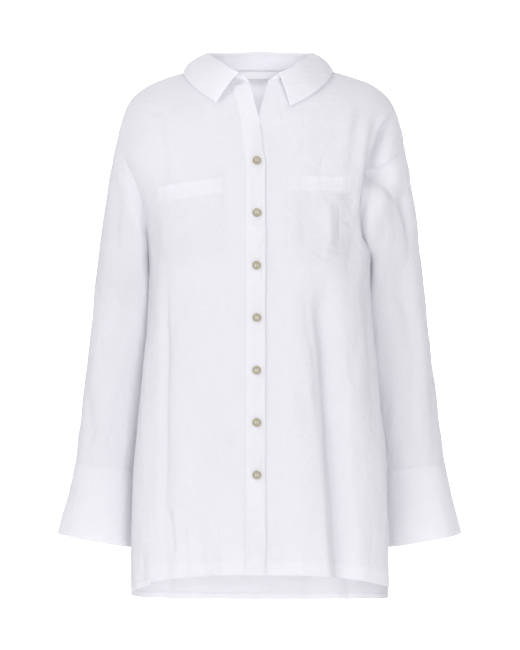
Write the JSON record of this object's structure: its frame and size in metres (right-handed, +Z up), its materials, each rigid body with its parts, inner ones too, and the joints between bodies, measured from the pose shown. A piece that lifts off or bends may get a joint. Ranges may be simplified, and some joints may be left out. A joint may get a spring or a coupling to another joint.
{
  "type": "linen shirt",
  "caption": "Oversize button-front linen shirt with pointed collar, drop shoulders, patch pockets, flared cuffs and stepped hem, filled out as worn.",
  "frame": {"origin": "between the shoulders at the sides of the neck, where the wearer carries the shirt", "axes": "+Z up along the body, +Y from the front to the back, +X to the wearer's left"},
  "size_m": [0.6132, 0.2476, 0.8384],
  "materials": {
    "linen": "white plain-weave linen, slubbed and softly creased",
    "label": "bare white satin ribbon",
    "button": "tan horn-look buttons, low gloss"
  },
  "bodies": {
    "root": {"back": "linen", "front_right": "linen", "front_left": "linen", "placket": "linen", "sleeve_right": "linen", "sleeve_left": "linen", "cuff_right": "linen", "cuff_left": "linen", "collar_stand": "linen", "collar_leaf": "linen", "pocket_right": "linen", "pocket_left": "linen", "neck_label": "label", "button_1": "button", "button_2": "button", "button_3": "button", "button_4": "button", "button_5": "button", "button_6": "button", "button_7": "button"}
  },
  "joints": []
}
